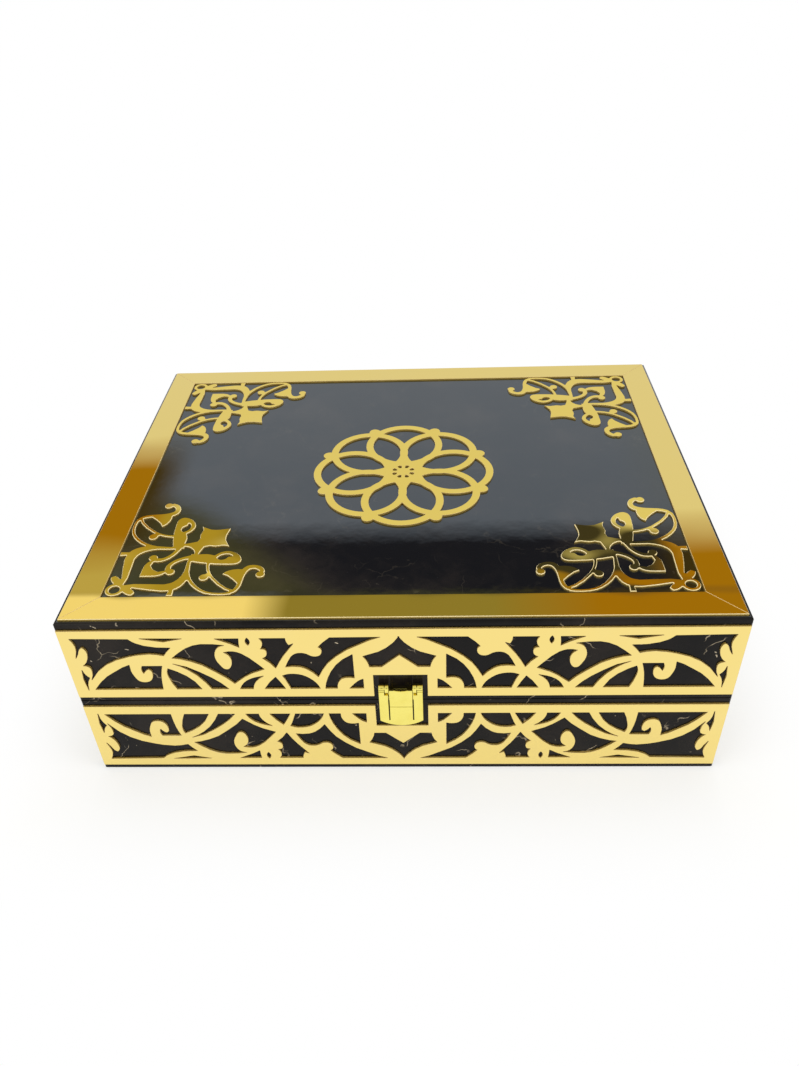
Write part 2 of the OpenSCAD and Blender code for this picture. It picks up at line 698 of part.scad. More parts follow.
module latch_flap() {
    color(brass) translate([0, latch_y, latch_z]) difference() {
        union() {
            translate([0, -barrel_r + flap_t, 0]) rotate([90, 0, 0]) linear_extrude(flap_t) flap_face();
            for (m = [0, 1]) mirror([m, 0, 0]) translate([barrel_x, 0, 0])
                rotate([0, 90, 0]) cylinder(r = barrel_r, h = latch_w / 2 - barrel_x);
            // bead that rides over the strike
            translate([-core_w * 0.35, -barrel_r + flap_t, -latch_drop + 3.2]) rotate([0, 90, 0])
                cylinder(r = 0.7, h = core_w * 0.7, $fn = 24);
        }
        for (m = [0, 1]) mirror([m, 0, 0]) {
            translate([lug_x, 0, 0]) rotate([0, 90, 0]) cylinder(r = latch_pin_r + pin_clear, h = latch_w);
            // fine line under each barrel
            translate([lug_x, -barrel_r - 1, -0.5]) cube([latch_w, 1.2, 0.3]);
        }
        // fine line across the middle plate at the seam
        translate([-core_w / 2, -barrel_r - 1, -latch_rise - 0.35]) cube([core_w, 1.2, 0.3]);
    }
}

// Strike on the base: plate with a half-round rib that the flap's bead snaps over
module latch_strike() {
    plate_low = latch_z - latch_drop + 2;
    rib_z = latch_z - latch_drop + 5;
    color(brass) difference() {
        union() {
            translate([-core_w / 2 + 0.6, front_y - plate_t, plate_low])
                cube([core_w - 1.2, plate_t, base_h - 1 - plate_low]);
            translate([-core_w * 0.35, front_y - plate_t, rib_z]) rotate([0, 90, 0])
                cylinder(r = plate_t, h = core_w * 0.7, $fn = 32);
        }
        at_latch_screws(-1) cylinder(r = screw_r, h = 3 * plate_t, center = true);
    }
}

module latch_screws_lid() {
    color(brass) at_latch_screws(1) translate([0, 0, plate_t]) screw(head_r * 0.75, plate_t);
}

module latch_screws_base() {
    color(brass) at_latch_screws(-1) translate([0, 0, plate_t]) screw(head_r * 0.75, plate_t);
}

// Lining of one half: plate against the floor or the top, walls standing on it
module lining_plate(z) {
    w = in_x - lining_gap;
    d = in_y - lining_gap;
    translate([-w, -d, z]) cube([2 * w, 2 * d, lining_t]);
}

module lining_long(y, z, h) {
    w = in_x - lining_gap;
    translate([-w, y > 0 ? in_y - lining_t : -in_y, z]) cube([2 * w, lining_t, h]);
}

module lining_short(x, z, h) {
    d = in_y - lining_t - lining_gap;
    translate([x > 0 ? in_x - lining_t : -in_x, -d, z]) cube([lining_t, 2 * d, h]);
}
base_wall_z = floor_t + lining_t;
base_wall_h = base_h - lining_drop - base_wall_z;
lid_wall_z = lid_z + lining_drop;
lid_wall_h = wall_top_z - lining_t - lid_wall_z;

module base_lining_floor() {
    color(velvet) lining_plate(floor_t);
}

module base_lining_front() {
    color(velvet) lining_long(-1, base_wall_z, base_wall_h);
}

module base_lining_back() {
    color(velvet) lining_long(1, base_wall_z, base_wall_h);
}

module base_lining_left() {
    color(velvet) lining_short(-1, base_wall_z, base_wall_h);
}

module base_lining_right() {
    color(velvet) lining_short(1, base_wall_z, base_wall_h);
}

module lid_lining_top() {
    color(velvet) lining_plate(wall_top_z - lining_t);
}

module lid_lining_front() {
    color(velvet) lining_long(-1, lid_wall_z, lid_wall_h);
}

module lid_lining_back() {
    color(velvet) lining_long(1, lid_wall_z, lid_wall_h);
}

module lid_lining_left() {
    color(velvet) lining_short(-1, lid_wall_z, lid_wall_h);
}

module lid_lining_right() {
    color(velvet) lining_short(1, lid_wall_z, lid_wall_h);
}

base_front();
base_back();
base_left();
base_right();
base_floor();
lid_front();
lid_back();
lid_left();
lid_right();
lid_top();
frame_front();
frame_back();
frame_left();
frame_right();
corner_front_left();
corner_front_right();
corner_back_left();
corner_back_right();
medallion();
fret_front_lid();
fret_front_base();
fret_left_lid();
fret_left_base();
fret_right_lid();
fret_right_base();
hinge_left_lid_leaf();
hinge_left_base_leaf();
hinge_left_pin();
hinge_right_lid_leaf();
hinge_right_base_leaf();
hinge_right_pin();
hinge_screws_lid();
hinge_screws_base();
latch_bracket();
latch_pin_left();
latch_pin_right();
latch_flap();
latch_strike();
latch_screws_lid();
latch_screws_base();
base_lining_floor();
base_lining_front();
base_lining_back();
base_lining_left();
base_lining_right();
lid_lining_top();
lid_lining_front();
lid_lining_back();
lid_lining_left();
lid_lining_right();
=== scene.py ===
import json
from math import radians

import bmesh
import bpy
from mathutils import Matrix, Vector


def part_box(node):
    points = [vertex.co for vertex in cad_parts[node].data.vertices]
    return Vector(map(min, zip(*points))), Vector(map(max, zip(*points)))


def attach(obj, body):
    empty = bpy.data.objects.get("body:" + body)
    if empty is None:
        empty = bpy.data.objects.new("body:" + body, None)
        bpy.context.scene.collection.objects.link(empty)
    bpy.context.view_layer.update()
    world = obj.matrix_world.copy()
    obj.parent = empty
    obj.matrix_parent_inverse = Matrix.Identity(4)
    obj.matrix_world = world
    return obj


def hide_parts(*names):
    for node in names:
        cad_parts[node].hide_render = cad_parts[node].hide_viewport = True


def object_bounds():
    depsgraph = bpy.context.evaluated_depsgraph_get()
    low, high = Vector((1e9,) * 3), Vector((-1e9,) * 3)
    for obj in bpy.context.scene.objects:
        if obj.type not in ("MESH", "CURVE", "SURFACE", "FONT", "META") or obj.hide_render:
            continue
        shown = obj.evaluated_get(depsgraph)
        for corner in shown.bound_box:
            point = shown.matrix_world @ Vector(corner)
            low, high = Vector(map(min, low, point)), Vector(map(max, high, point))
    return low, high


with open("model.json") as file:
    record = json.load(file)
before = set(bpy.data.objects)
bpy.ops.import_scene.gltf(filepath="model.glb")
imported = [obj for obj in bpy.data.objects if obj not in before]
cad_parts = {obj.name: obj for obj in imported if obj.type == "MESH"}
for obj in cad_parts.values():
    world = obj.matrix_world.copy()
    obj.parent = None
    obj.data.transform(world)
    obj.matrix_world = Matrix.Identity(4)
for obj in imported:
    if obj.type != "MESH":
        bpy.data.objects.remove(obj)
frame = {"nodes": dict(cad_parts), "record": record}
cad_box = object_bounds()
scene = bpy.context.scene
scene.view_settings.view_transform = 'Standard'


# Viewpoint: a hand-held camera a forearm's length in front of the box and above it,
# a little right of the middle, looking down at the lid and the front together.
eye = Vector((0.01633, -0.39893, 0.36073))
look = Vector((-0.0397, 0.7945, -0.60596)).normalized()
tilt = Vector((0.99914, 0.02419, -0.03374))
lens = bpy.data.cameras.new("viewpoint")
lens.sensor_width = 36
lens.lens = 29.569
lens.clip_start = 0.01
viewpoint = bpy.data.objects.new("viewpoint", lens)
scene.collection.objects.link(viewpoint)
scene.camera = viewpoint
side = (tilt - look * tilt.dot(look)).normalized()
turn = Matrix((side, side.cross(look), -look)).transposed().to_4x4()
viewpoint.matrix_world = Matrix.Translation(eye) @ turn


# Case boards: fibreboard side boards with mitred corners and a top board with rounded edges,
# all wrapped in one glossy black film printed like marble. The film rounds the edges at the
# seam a little, and runs on around the corners.
def add_node(tree, kind, settings=(), **values):
    """Adds a shader node, sets its own settings, then its input sockets by name or number."""
    made = tree.nodes.new(kind)
    for key, value in dict(settings).items():
        setattr(made, key, value)
    for key, value in values.items():
        numbered = key[0] == "_" and key[1:].isdigit()
        socket = made.inputs[int(key[1:])] if numbered else made.inputs[key.replace("_", " ")]
        if isinstance(value, bpy.types.NodeSocket):
            tree.links.new(value, socket)
        else:
            socket.default_value = value
    return made


def start_group(name, inputs, outputs):
    """Starts a shader node group with float inputs and the named outputs."""
    group = bpy.data.node_groups.new(name, 'ShaderNodeTree')
    for key, value in inputs.items():
        socket = group.interface.new_socket(key, in_out='INPUT', socket_type='NodeSocketFloat')
        socket.default_value = value
    for key in outputs:
        group.interface.new_socket(key, in_out='OUTPUT', socket_type='NodeSocketFloat')
    return group, group.nodes.new('NodeGroupInput').outputs, group.nodes.new('NodeGroupOutput').inputs


def start_material(name):
    """Starts a material and returns it with its tree and its Principled shader."""
    made = bpy.data.materials.new(name)
    made.use_nodes = True
    return made, made.node_tree, made.node_tree.nodes["Principled BSDF"]


def on_piece(tree):
    """Coordinates that stay with the piece."""
    return add_node(tree, 'ShaderNodeTexCoord').outputs["Object"]


def noise(tree, place, scale, detail=2, roughness=0.5):
    """Soft random clouds, one value under Fac and three under Color."""
    return add_node(tree, 'ShaderNodeTexNoise', Vector=place, Scale=scale, Detail=detail,
                    Roughness=roughness).outputs


def calc(tree, operation, a, b):
    """One step of arithmetic on two values."""
    return add_node(tree, 'ShaderNodeMath', {"operation": operation}, _0=a, _1=b).outputs[0]


def soft_step(tree, value, low, high):
    """0 below low, 1 above high and smooth between; low above high turns it round."""
    return add_node(tree, 'ShaderNodeMapRange', {"interpolation_type": 'SMOOTHSTEP'},
                    Value=value, From_Min=low, From_Max=high).outputs["Result"]


def spread(tree, value, low, high, least, most):
    """Takes the range from low to high over to the range from least to most."""
    return add_node(tree, 'ShaderNodeMapRange', Value=value, From_Min=low, From_Max=high,
                    To_Min=least, To_Max=most).outputs["Result"]


def blend(tree, share, first, second, kind='MIX'):
    """Colour that goes from the first tone to the second as the share rises."""
    first, second = (t if isinstance(t, bpy.types.NodeSocket) else (*t, 1) for t in (first, second))
    return add_node(tree, 'ShaderNodeMix', {"data_type": 'RGBA', "blend_type": kind},
                    _0=share, _6=first, _7=second).outputs[2]


def roughen(tree, shader, height, strength, depth):
    """Tilts the shading by the slopes of the height."""
    relief = add_node(tree, 'ShaderNodeBump', Strength=strength, Distance=depth, Height=height)
    tree.links.new(relief.outputs["Normal"], shader.inputs["Normal"])


veins, get, put = start_group("marble print", {"Vein width": 0.0075}, ["Veins", "Flecks", "Clouds"])
place = on_piece(veins)
sway = 0.036
drift = add_node(veins, 'ShaderNodeVectorMath', {"operation": 'MULTIPLY_ADD'},
                 _0=noise(veins, place, scale=38, detail=4, roughness=0.55)["Color"],
                 _1=(sway, sway, sway), _2=place).outputs[0]


def vein_lines(scale, breadth, kept, shift):
    """Lines along cracks of one size, kept in patches only and faint in places."""
    crack = add_node(veins, 'ShaderNodeTexVoronoi', {"feature": 'DISTANCE_TO_EDGE'},
                     Vector=drift, Scale=scale).outputs["Distance"]
    line = soft_step(veins, crack, calc(veins, 'MULTIPLY', get["Vein width"], breadth), 0.0)
    moved = add_node(veins, 'ShaderNodeVectorMath', {"operation": 'ADD'},
                     _0=place, _1=(shift, shift, shift)).outputs[0]
    patch = soft_step(veins, noise(veins, moved, scale=48)["Fac"], *kept)
    faint = soft_step(veins, noise(veins, moved, scale=130, detail=1)["Fac"], 0.25, 0.52)
    return calc(veins, 'MULTIPLY', calc(veins, 'MULTIPLY', line, patch), faint)


large_veins = vein_lines(scale=17, breadth=1.0, kept=(0.54, 0.60), shift=3.1)
small_veins = vein_lines(scale=33, breadth=1.5, kept=(0.56, 0.62), shift=7.7)
veins.links.new(calc(veins, 'MAXIMUM', large_veins, small_veins), put["Veins"])
fleck = add_node(veins, 'ShaderNodeTexVoronoi', Vector=drift, Scale=150).outputs["Distance"]
rare = soft_step(veins, noise(veins, place, scale=70)["Fac"], 0.53, 0.64)
veins.links.new(calc(veins, 'MULTIPLY', soft_step(veins, fleck, 0.12, 0.05), rare), put["Flecks"])
cloud = noise(veins, drift, scale=16, detail=7, roughness=0.65)["Fac"]
veins.links.new(soft_step(veins, cloud, 0.42, 0.72), put["Clouds"])


def marbled(name, gloss, shine, show):
    """Black film with brown clouds, cream veins and a few flecks; show is how much of the
    veins and flecks comes through the gloss."""
    made, tree, shader = start_material(name)
    black, brown = (0.0045, 0.0038, 0.0036), (0.019, 0.0145, 0.0115)
    cream, pale_cream = (0.40, 0.33, 0.23), (0.52, 0.44, 0.32)
    printed = add_node(tree, 'ShaderNodeGroup', {"node_tree": veins}).outputs
    tone = blend(tree, printed["Clouds"], black, brown)
    tone = blend(tree, calc(tree, 'MULTIPLY', printed["Veins"], show), tone, cream)
    tone = blend(tree, calc(tree, 'MULTIPLY', printed["Flecks"], show), tone, pale_cream)
    tree.links.new(tone, shader.inputs["Base Color"])
    haze = noise(tree, on_piece(tree), scale=35, detail=4)["Fac"]
    tree.links.new(spread(tree, haze, 0.3, 0.7, gloss * 0.7, gloss * 1.4), shader.inputs["Roughness"])
    peel = noise(tree, on_piece(tree), scale=120)["Fac"]
    roughen(tree, shader, peel, strength=0.03, depth=0.0004)
    shader.inputs["Specular IOR Level"].default_value = shine
    return made


film = marbled("marbled film", gloss=0.09, shine=0.12, show=1.0)
top_film = marbled("marbled film on the top", gloss=0.02, shine=1.0, show=0.05)
shader = top_film.node_tree.nodes["Principled BSDF"]
shader.inputs["IOR"].default_value = 1.6
# The film on the top gets a blue specular tint, a painted blue tint on its reflections.
shader.inputs["Specular Tint"].default_value = (0.74, 0.87, 1.0, 1)

weld = 2e-6
flat_angle, edge_angle, crease_angle = radians(0.4), radians(40), radians(38)


def dressed(name, materials, width=0.0, picks=None, segments=2, shortest=0.0):
    """Copy of a CAD piece, its triangles merged and its picked edges rounded, in place of the node.
    Edges under the shortest length are drawn together first, so that the rounding reaches its width."""
    mesh = bpy.data.meshes.new(name + "_dressed")
    shape = bmesh.new()
    shape.from_mesh(frame["nodes"][name].data)
    bmesh.ops.remove_doubles(shape, verts=shape.verts, dist=weld)
    bmesh.ops.collapse(shape, edges=[e for e in shape.edges if e.calc_length() < shortest], uvs=False)
    bmesh.ops.dissolve_limit(shape, angle_limit=flat_angle, verts=shape.verts, edges=shape.edges)
    rounded = [e for e in shape.edges if picks and len(e.link_faces) == 2
               and e.calc_face_angle() > edge_angle and picks(e)]
    if rounded:
        bmesh.ops.bevel(shape, geom=rounded, offset=width, offset_type='OFFSET', segments=segments,
                        profile=0.5, affect='EDGES', clamp_overlap=shortest == 0, material=-1)
    shape.normal_update()
    shape.to_mesh(mesh)
    shape.free()
    mesh.set_sharp_from_angle(angle=crease_angle)
    for face in mesh.polygons:
        face.use_smooth = max(abs(n) for n in face.normal) < 0.9999
        face.material_index = 0
    for material in materials:
        mesh.materials.append(material)
    piece = bpy.data.objects.new(name + "_dressed", mesh)
    scene.collection.objects.link(piece)
    owner = next(b for b, held in frame["record"]["behaviour"]["bodies"].items() if name in held)
    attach(piece, owner)
    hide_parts(name)
    return piece


case_half = Vector(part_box("lid_top")[1])
skin = 0.002
seam_round = 0.0006


def level_edge(height):
    """Picks the level outer edges at the given height."""
    def picks(edge):
        a, b = edge.verts
        outer = abs(a.co.x) > case_half.x - skin or abs(a.co.y) > case_half.y - skin
        return outer and abs(a.co.z - b.co.z) < 1e-5 and abs(a.co.z - height) < 1e-4
    return picks


for half in ("base", "lid"):
    for where in ("front", "back", "left", "right"):
        low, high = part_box(half + "_" + where)
        seam = high[2] if half == "base" else low[2]
        dressed(half + "_" + where, [film], seam_round, level_edge(seam))
lid_top = dressed("lid_top", [top_film, film])
for face in lid_top.data.polygons:
    face.material_index = 0 if face.normal.z > 0.99 else 1


# Floor board: thin fibreboard let in between the base boards and glued there.
# Its underside is papered in plain black.
paper, tree, shader = start_material("black paper")
fibres = noise(tree, on_piece(tree), scale=900, detail=3)["Fac"]
paper_tone = blend(tree, fibres, (0.008, 0.008, 0.008), (0.022, 0.020, 0.019))
tree.links.new(paper_tone, shader.inputs["Base Color"])
roughen(tree, shader, fibres, strength=0.2, depth=0.0002)
shader.inputs["Roughness"].default_value = 0.75
paper_round = 0.0003


def every_edge(edge):
    """Picks all edges."""
    return True


dressed("base_floor", [paper], paper_round, every_edge)


# Gold sheet: laser-cut mirror acrylic, 1 mm thick, glued on the film. Its face is a slightly
# wavy mirror. The beam leaves glassy edges, amber on the walls and darkened there with painted
# shade. The front rim of each cut has a painted highlight on the front pieces and painted shade on the rest.
ripple, get, put = start_group("sheet surface", {"Smudge": 0.5}, ["Height", "Haze"])
place = on_piece(ripple)
ripple.links.new(noise(ripple, place, scale=42, detail=0)["Fac"], put["Height"])
smear = soft_step(ripple, noise(ripple, place, scale=30, detail=5, roughness=0.6)["Fac"], 0.45, 0.75)
ripple.links.new(calc(ripple, 'MULTIPLY', smear, get["Smudge"]), put["Haze"])


def mirror_face(name, bow, gold, smudged):
    """Gold mirror with faint smudges; bow is how much the sheet's waves turn its reflections."""
    made, tree, shader = start_material(name)
    surface = add_node(tree, 'ShaderNodeGroup', {"node_tree": ripple}).outputs
    tree.links.new(blend(tree, surface["Haze"], gold, smudged), shader.inputs["Base Color"])
    tree.links.new(spread(tree, surface["Haze"], 0, 1, 0.015, 0.05), shader.inputs["Roughness"])
    roughen(tree, shader, surface["Height"], strength=bow, depth=0.002)
    shader.inputs["Metallic"].default_value = 1.0
    return made


mirror = mirror_face("gold mirror face", bow=0.02, gold=(0.94, 0.74, 0.25), smudged=(0.93, 0.74, 0.28))
bowed_mirror = mirror_face("gold mirror face of the scrolls", bow=0.18,
                           gold=(0.95, 0.72, 0.15), smudged=(0.94, 0.72, 0.18))


def cut_edge(name, gold, hazed, metal):
    """Edge left by the cut, clear gold with hazy patches."""
    made, tree, shader = start_material(name)
    surface = add_node(tree, 'ShaderNodeGroup', {"node_tree": ripple}, Smudge=1.0).outputs
    tree.links.new(blend(tree, surface["Haze"], gold, hazed), shader.inputs["Base Color"])
    shader.inputs["Metallic"].default_value = metal
    shader.inputs["Roughness"].default_value = 0.3
    return made


# The gold rim is a darker copy of the rim: painted shade along the cut edges of the back pieces, the frets
# and the medallion.
rim = cut_edge("gold edge with painted shade", (0.66, 0.48, 0.19), (0.74, 0.57, 0.28), metal=0.1)
# The pale rim is a lighter copy of the rim: a painted highlight along the cut edges.
painted_highlight_rim = cut_edge("gold edge with painted highlight", (0.88, 0.72, 0.36), (0.92, 0.78, 0.46), metal=0.1)
# The cut walls have the acrylic's amber, darkened as painted shade.
cut_wall_painted_shade = cut_edge("gold cut wall with painted shade", (0.66, 0.44, 0.10), (0.76, 0.54, 0.16), metal=0.6)


def gold_sheet(name, out, rim_width, shortest=0.0, face_material=mirror, rim_material=rim):
    """A cut sheet facing along out: mirror on the face, the rim tone on the rim as painted highlight or
    painted shade, amber with painted shade on the cut walls.
    """
    out = Vector(out)

    def face_edge(edge):
        return any(f.normal.dot(out) > 0.99 for f in edge.link_faces)

    slots = [face_material, rim_material, cut_wall_painted_shade]
    piece = dressed(name, slots, rim_width, face_edge, segments=1, shortest=shortest)
    for face in piece.data.polygons:
        lean = face.normal.dot(out)
        face.material_index = 0 if lean > 0.99 else 1 if lean > 0.05 else 2


# Lid ornaments: four mitred strips that frame the lid, four scrolled corners and a round
# centre piece, all cut from the sheet and glued flat on the film.
up = (0, 0, 1)
fine_rim, strip_rim, front_strip_rim, scroll_rim = 0.00012, 0.00016, 0.00022, 0.0003
fret_step, scroll_step = 0.00008, 0.0002
# The front strip and the front scrolls get the pale rim, a painted highlight; the other pieces get the
# darker rim, painted shade.
gold_sheet("frame_front", up, front_strip_rim, rim_material=painted_highlight_rim)
for where in ("back", "left", "right"):
    gold_sheet("frame_" + where, up, strip_rim)
for where in ("left", "right"):
    gold_sheet("corner_front_" + where, up, scroll_rim, scroll_step, bowed_mirror, painted_highlight_rim)
    gold_sheet("corner_back_" + where, up, fine_rim, scroll_step, bowed_mirror)
gold_sheet("medallion", up, fine_rim, fret_step, bowed_mirror)


# Fret panels: one on the front and one on each side, cut from the same sheet and glued on.
# The base has the mirror image of the lid's set.
for half in ("lid", "base"):
    gold_sheet("fret_front_" + half, (0, -1, 0), fine_rim, fret_step)
    gold_sheet("fret_left_" + half, (-1, 0, 0), fine_rim, fret_step)
    gold_sheet("fret_right_" + half, (1, 0, 0), fine_rim, fret_step)


# Hinges and latch: pressed sheet, brass plated and bright, with faint polishing lines along the
# height and softly rounded edges. Pins and screws have the same plating. The flap's scored lines
# and the screws' slots are painted in dark brass, a painted shade in these hollows.
brass, tree, shader = start_material("bright brass plating")
place = on_piece(tree)
along = add_node(tree, 'ShaderNodeMapping', Vector=place, Scale=(900, 900, 25)).outputs[0]
lines = noise(tree, along, scale=1, detail=3)["Fac"]
tarnish = soft_step(tree, noise(tree, place, scale=160, detail=4)["Fac"], 0.4, 0.75)
tree.links.new(blend(tree, tarnish, (0.96, 0.84, 0.21), (0.92, 0.79, 0.18)), shader.inputs["Base Color"])
tree.links.new(spread(tree, lines, 0.3, 0.7, 0.08, 0.16), shader.inputs["Roughness"])
roughen(tree, shader, lines, strength=0.03, depth=0.0002)
shader.inputs["Metallic"].default_value = 1.0

# Dark brass for the scored lines and the slots: painted shade in the hollows.
brass_with_painted_shade, tree, shader = start_material("brass with painted shade in the scored lines")
tarnish = noise(tree, on_piece(tree), scale=400, detail=3)["Fac"]
tree.links.new(blend(tree, tarnish, (0.20, 0.14, 0.02), (0.34, 0.26, 0.05)), shader.inputs["Base Color"])
shader.inputs["Metallic"].default_value = 0.6
shader.inputs["Roughness"].default_value = 0.5

plate_round, pin_round = 0.00025, 0.00012
cut_top, score_floor, slot_floor = 0.0001, 0.0004, 0.00045
for name in ("latch_bracket", "latch_strike", "hinge_left_lid_leaf", "hinge_left_base_leaf",
             "hinge_right_lid_leaf", "hinge_right_base_leaf"):
    dressed(name, [brass], plate_round, every_edge)
flap = dressed("latch_flap", [brass, brass_with_painted_shade], plate_round, every_edge)
flap_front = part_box("latch_flap")[0][1]
# Faces in the flap's scored lines take the dark brass, painted shade.
for face in flap.data.polygons:
    if face.normal.y < -0.9 and cut_top < face.center.y - flap_front < score_floor:
        face.material_index = 1
for name in ("hinge_left_pin", "hinge_right_pin", "latch_pin_left", "latch_pin_right"):
    dressed(name, [brass], pin_round, every_edge)
for name, out in (("hinge_screws_lid", 1), ("hinge_screws_base", 1),
                  ("latch_screws_lid", -1), ("latch_screws_base", -1)):
    screws = dressed(name, [brass, brass_with_painted_shade], pin_round, every_edge)
    head = max(out * corner[1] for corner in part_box(name))
    # Faces in the screws' slots take the dark brass, painted shade.
    for face in screws.data.polygons:
        in_slot = cut_top < head - out * face.center.y < slot_floor
        if in_slot and (out * face.normal.y > 0.9 or abs(face.normal.y) < 0.05):
            face.material_index = 1


# Lining: card covered in short-pile velvet, one plate on the floor or under the top and one on
# each wall. The cloth wraps the card's edges and stands up a little in the middle.
velvet, tree, shader = start_material("velvet")
place = on_piece(tree)
brushed = add_node(tree, 'ShaderNodeMapping', Vector=place, Scale=(30, 9, 30)).outputs[0]
nap = soft_step(tree, noise(tree, brushed, scale=1, detail=5)["Fac"], 0.35, 0.7)
pile = noise(tree, place, scale=2600)["Fac"]
tone = blend(tree, nap, (0.125, 0.006, 0.015), (0.175, 0.011, 0.022))
tone = blend(tree, calc(tree, 'MULTIPLY', pile, 0.7), tone, (0.45, 0.40, 0.42), 'MULTIPLY')
tree.links.new(tone, shader.inputs["Base Color"])
roughen(tree, shader, pile, strength=0.35, depth=0.0004)
shader.inputs["Roughness"].default_value = 0.85
shader.inputs["Specular IOR Level"].default_value = 0.2
shader.inputs["Sheen Weight"].default_value = 0.6
shader.inputs["Sheen Roughness"].default_value = 0.35
shader.inputs["Sheen Tint"].default_value = (0.75, 0.25, 0.30, 1)

wrap_round = 0.0007
crown = 0.0007
crown_flatness = 6
longest_plain_edge = 0.02
sort_way = Vector((1.0, 0.37, 0.071))


def lining(name, inward):
    """Velvet plate in the node's place, rounded at its edges and crowned towards the inside."""
    low, high = (Vector(c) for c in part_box(name))
    middle, half = (low + high) / 2, (high - low) / 2
    mesh = bpy.data.meshes.new(name + "_velvet")
    shape = bmesh.new()
    bmesh.ops.create_cube(shape, size=1)
    bmesh.ops.scale(shape, vec=high - low, verts=shape.verts)
    bmesh.ops.translate(shape, vec=middle, verts=shape.verts)
    bmesh.ops.bevel(shape, geom=shape.edges[:], offset=wrap_round, offset_type='OFFSET', segments=3,
                    profile=0.5, affect='EDGES', material=-1)
    long_edges = [e for e in shape.edges if e.calc_length() > longest_plain_edge]
    bmesh.ops.subdivide_edges(shape, edges=long_edges, cuts=14, use_grid_fill=True)
    inward = Vector(inward)
    inner_face = half.dot(Vector((abs(i) for i in inward)))
    for v in shape.verts:
        if (v.co - middle).dot(inward) > inner_face - 1e-5:
            share = 1.0
            for axis in range(3):
                if abs(inward[axis]) < 0.5:
                    share *= 1 - abs((v.co[axis] - middle[axis]) / half[axis]) ** crown_flatness
            v.co += inward * crown * share
    for face in shape.faces:
        face.smooth = True
    # The cuts leave the faces in another order at each run, so they are put in a fixed one
    shape.verts.sort(key=lambda v: v.co.dot(sort_way))
    shape.edges.sort(key=lambda e: (e.verts[0].co + e.verts[1].co).dot(sort_way))
    shape.faces.sort(key=lambda f: f.calc_center_median().dot(sort_way))
    shape.to_mesh(mesh)
    shape.free()
    mesh.materials.append(velvet)
    piece = bpy.data.objects.new(name + "_velvet", mesh)
    scene.collection.objects.link(piece)
    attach(piece, name.split("_")[0])
    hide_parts(name)


lining("base_lining_floor", (0, 0, 1))
lining("lid_lining_top", (0, 0, -1))
for half in ("base", "lid"):
    lining(half + "_lining_front", (0, 1, 0))
    lining(half + "_lining_back", (0, -1, 0))
    lining(half + "_lining_left", (1, 0, 0))
    lining(half + "_lining_right", (-1, 0, 0))


# Table: a wide white board that the box stands on. It shows as plain white, also in the metal,
# and keeps the box's soft shadow close around it.
def background_rays(tree):
    """1 for the rays that show the background: from the camera, off gloss and through glass."""
    rays = add_node(tree, 'ShaderNodeLightPath').outputs
    seen = calc(tree, 'MAXIMUM', rays["Is Camera Ray"], rays["Is Glossy Ray"])
    return calc(tree, 'MAXIMUM', seen, rays["Is Transmission Ray"])


table_half = 3
shadow_reach = 0.07
least_white = 0.55
table_mesh = bpy.data.meshes.new("table")
shape = bmesh.new()
bmesh.ops.create_grid(shape, x_segments=1, y_segments=1, size=table_half)
shape.to_mesh(table_mesh)
shape.free()
table = bpy.data.objects.new("table", table_mesh)
scene.collection.objects.link(table)
white, tree, shader = start_material("white table")
tree.nodes.remove(shader)
grain = noise(tree, on_piece(tree), scale=3)["Fac"]
board_tone = blend(tree, grain, (0.90, 0.90, 0.90), (0.93, 0.93, 0.93))
matt = add_node(tree, 'ShaderNodeBsdfDiffuse', Color=board_tone)
glow = add_node(tree, 'ShaderNodeEmission', Color=(1, 1, 1, 1), Strength=1.0)
spot = add_node(tree, 'ShaderNodeVectorMath', {"operation": 'ABSOLUTE'}, _0=on_piece(tree)).outputs[0]
spot = add_node(tree, 'ShaderNodeSeparateXYZ', Vector=spot).outputs
beside = calc(tree, 'MAXIMUM', calc(tree, 'SUBTRACT', spot["X"], cad_box[1][0]),
              calc(tree, 'SUBTRACT', spot["Y"], cad_box[1][1]))
clear = add_node(tree, 'ShaderNodeMapRange', {"interpolation_type": 'SMOOTHSTEP'}, Value=beside,
                 From_Min=0.0, From_Max=shadow_reach, To_Min=least_white, To_Max=1.0).outputs["Result"]
shown = add_node(tree, 'ShaderNodeMixShader', _0=clear, _1=matt.outputs[0], _2=glow.outputs[0])
mixed = add_node(tree, 'ShaderNodeMixShader', _0=background_rays(tree),
                 _1=matt.outputs[0], _2=shown.outputs[0])
tree.links.new(mixed.outputs[0], tree.nodes["Material Output"].inputs["Surface"])
table_mesh.materials.append(white)


# Room: pale all round and white near the horizon, with soft cards that the lid mirrors: a dark
# one ahead, and gold-brown ones along its front and its two sides. A direction is read as the
# place, ahead and across, where it meets a ceiling one unit up.
room = bpy.data.worlds.new("pale room")
scene.world = room
room.use_nodes = True
tree = room.node_tree
tree.nodes.clear()
way = add_node(tree, 'ShaderNodeTexCoord').outputs["Generated"]
way = add_node(tree, 'ShaderNodeSeparateXYZ', Vector=way).outputs
lowest = 0.05
rise = calc(tree, 'MAXIMUM', way["Z"], lowest)
ahead = calc(tree, 'DIVIDE', way["Y"], rise)
across = calc(tree, 'DIVIDE', way["X"], rise)


def graded(value, *tones):
    """Colour that runs through the given tones as the value rises, each at its own place."""
    low, high = tones[0][0], tones[-1][0]
    ramp = add_node(tree, 'ShaderNodeValToRGB', Fac=spread(tree, value, low, high, 0, 1))
    stops = ramp.color_ramp.elements
    stops[0].color, stops[1].color = (*tones[0][1], 1), (*tones[-1][1], 1)
    for at, tone in tones[1:-1]:
        stops.new((at - low) / (high - low)).color = (*tone, 1)
    return ramp.outputs["Color"]


def card(shade, tone, *limits):
    """Lays a soft-edged card of the given tone over the room, inside the given limits."""
    area = 1.0
    for value, low, high in limits:
        area = calc(tree, 'MULTIPLY', area, soft_step(tree, value, low, high))
    return blend(tree, area, shade, tone)


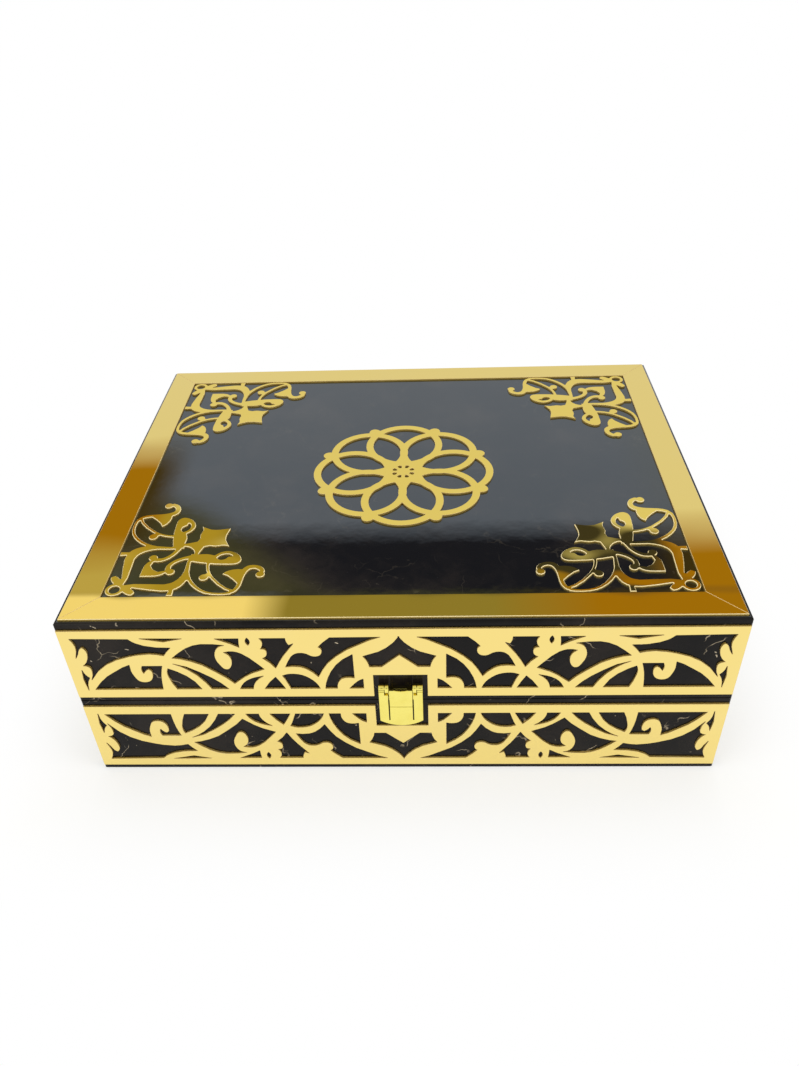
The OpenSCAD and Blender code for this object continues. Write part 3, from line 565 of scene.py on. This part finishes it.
wall_white = (1, 1, 1)
pale = (0.78, 0.78, 0.74)
slate = (0.77, 0.78, 0.79)
black = (0.05, 0.05, 0.06)
bright = (0.95, 0.88, 0.62)
dim = (0.52, 0.46, 0.21)
ochre = (0.42, 0.35, 0.10)
olive = (0.28, 0.25, 0.08)
amber = (0.37, 0.20, 0.01)
near_front, past_front = (ahead, 1.155, 1.13), (ahead, 1.13, 1.155)
shade = graded(ahead, (1.02, pale), (1.10, black), (1.28, black), (1.35, slate), (1.90, slate), (1.95, pale))
shade = card(shade, olive, (ahead, -1.3, -1.0), (ahead, -0.5, -0.8),
             (across, -0.3, -0.15), (across, 0.3, 0.15))
left_front = calc(tree, 'ADD', ahead, across)
shade = card(shade, ochre, (left_front, 1.0, 0.86), past_front, (ahead, 1.50, 1.36))
front_card = graded(across, (-0.33, bright), (-0.25, olive), (0.10, olive), (0.28, amber))
shade = card(shade, front_card, near_front, (ahead, 1.02, 1.07))
left_card = graded(ahead, (1.20, dim), (1.32, amber), (1.54, amber), (1.68, pale))
shade = card(shade, left_card, (across, -0.50, -0.585), past_front)
right_card = graded(ahead, (1.24, amber), (1.38, pale))
shade = card(shade, right_card, (across, 0.37, 0.46), past_front)
for card_end, room_start in ((-0.66, -0.85), (0.53, 0.72)):
    shade = card(shade, pale, (across, card_end, room_start))
shade = card(shade, wall_white, (way["Z"], 0.42, 0.30), (background_rays(tree), 0, 1))
around = add_node(tree, 'ShaderNodeBackground', Color=shade, Strength=1.0)
tree.links.new(around.outputs[0], add_node(tree, 'ShaderNodeOutputWorld').inputs["Surface"])


# Lamps: three soft square lamps above the table, left, right and behind, all turned to the box.
# They aren't seen in the gold.
aim = Vector((0, 0, 0.05))
for name, stand, size, power in (("lamp left", (-0.9, -0.7, 1.25), 0.9, 6.5),
                                 ("lamp right", (1.0, -0.5, 1.1), 0.7, 5.5),
                                 ("lamp behind", (0.1, 1.3, 1.3), 0.8, 5)):
    light = bpy.data.lights.new(name, 'AREA')
    light.size = size
    light.energy = power
    lamp = bpy.data.objects.new(name, light)
    lamp.location = stand
    lamp.visible_glossy = False
    lamp.rotation_euler = (aim - Vector(stand)).to_track_quat('-Z', 'Y').to_euler()
    scene.collection.objects.link(lamp)
